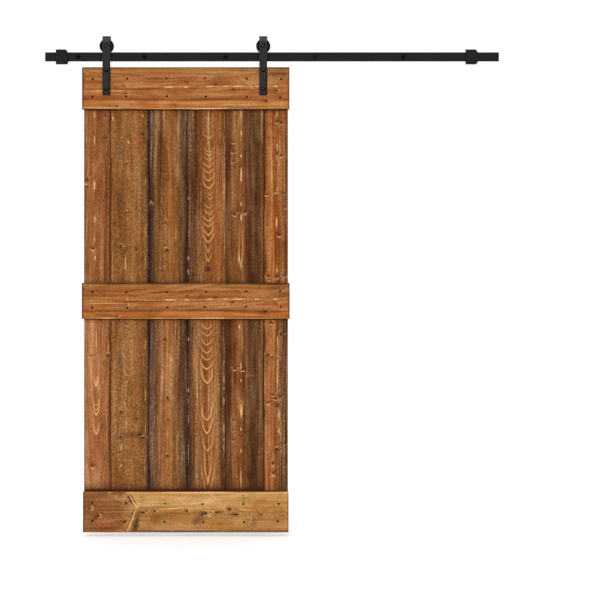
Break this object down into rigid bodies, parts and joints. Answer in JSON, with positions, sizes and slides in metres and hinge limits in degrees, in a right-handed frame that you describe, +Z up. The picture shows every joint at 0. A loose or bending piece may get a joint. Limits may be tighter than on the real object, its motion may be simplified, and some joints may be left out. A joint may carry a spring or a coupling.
{
  "type": "sliding barn door",
  "caption": "Plank door with three battens, hung on two hook hangers whose grooved wheels roll along a wall-mounted flat steel track between end stops.",
  "frame": {"origin": "on the wall plane, on the axis of the track's middle lag screw, where that standoff meets the wall", "axes": "+X to the right seen from the front, along the track; +Y into the wall; +Z up"},
  "size_m": [2.012, 0.1075, 2.1987],
  "materials": {
    "batten_wood": "oiled pine, warm honey stain",
    "plank_wood": "oiled pine, walnut stain",
    "black_steel": "matt black powder coat",
    "black_bolt": "satin black coated fasteners",
    "screw_black": "black phosphate",
    "wheel_steel": "turned steel, blackened",
    "bearing_steel": "ground steel",
    "cage_brass": "pressed brass"
  },
  "bodies": {
    "track": {"track": "black_steel", "lag_screws": "black_bolt", "lag_washers": "black_bolt", "standoff_1": "black_steel", "standoff_2": "black_steel", "standoff_3": "black_steel", "standoff_4": "black_steel", "standoff_5": "black_steel", "end_stop_left": "black_steel", "stop_set_screws_left": "black_bolt", "end_stop_right": "black_steel", "stop_set_screws_right": "black_bolt"},
    "door": {"plank_1": "plank_wood", "plank_2": "plank_wood", "plank_3": "plank_wood", "plank_4": "plank_wood", "plank_5": "plank_wood", "plank_6": "plank_wood", "top_batten": "batten_wood", "top_batten_screws": "screw_black", "middle_batten": "batten_wood", "middle_batten_screws": "screw_black", "bottom_batten": "batten_wood", "bottom_batten_screws": "screw_black", "hanger_strap_left": "black_steel", "hanger_bolts_left": "black_bolt", "barrel_nuts_left": "black_bolt", "axle_bolt_left": "black_bolt", "axle_nut_left": "black_bolt", "axle_bushes_left": "bearing_steel", "bearing_inner_ring_left": "bearing_steel", "hanger_strap_right": "black_steel", "hanger_bolts_right": "black_bolt", "barrel_nuts_right": "black_bolt", "axle_bolt_right": "black_bolt", "axle_nut_right": "black_bolt", "axle_bushes_right": "bearing_steel", "bearing_inner_ring_right": "bearing_steel"},
    "wheel_left": {"wheel_left": "wheel_steel", "wheel_circlip_left": "bearing_steel", "bearing_outer_ring_left": "bearing_steel", "bearing_shields_left": "bearing_steel"},
    "cage_left": {"bearing_cage_left": "cage_brass", "bearing_balls_left": "bearing_steel"},
    "wheel_right": {"wheel_right": "wheel_steel", "wheel_circlip_right": "bearing_steel", "bearing_outer_ring_right": "bearing_steel", "bearing_shields_right": "bearing_steel"},
    "cage_right": {"bearing_cage_right": "cage_brass", "bearing_balls_right": "bearing_steel"}
  },
  "joints": [
    {"name": "door_slide", "type": "slide", "parent": "track", "child": "door", "axis": [1, 0, 0], "range_m": [-0.15, 0.867]},
    {"name": "wheel_left_roll", "type": "hinge", "parent": "door", "child": "wheel_left", "pos_m": [-0.527, -0.039, 0.0477], "axis": [0, 1, 0], "continuous": true},
    {"name": "wheel_right_roll", "type": "hinge", "parent": "door", "child": "wheel_right", "pos_m": [0.167, -0.039, 0.0477], "axis": [0, 1, 0], "continuous": true},
    {"name": "cage_left_roll", "type": "hinge", "parent": "door", "child": "cage_left", "pos_m": [-0.527, -0.039, 0.0477], "axis": [0, 1, 0], "continuous": true},
    {"name": "cage_right_roll", "type": "hinge", "parent": "door", "child": "cage_right", "pos_m": [0.167, -0.039, 0.0477], "axis": [0, 1, 0], "continuous": true}
  ],
  "couplings": [
    {"joint": "wheel_left_roll", "follows": "door_slide", "rad_per_m": 36.364},
    {"joint": "wheel_right_roll", "follows": "door_slide", "rad_per_m": 36.364},
    {"joint": "cage_left_roll", "follows": "door_slide", "rad_per_m": 23.374},
    {"joint": "cage_right_roll", "follows": "door_slide", "rad_per_m": 23.374}
  ]
}
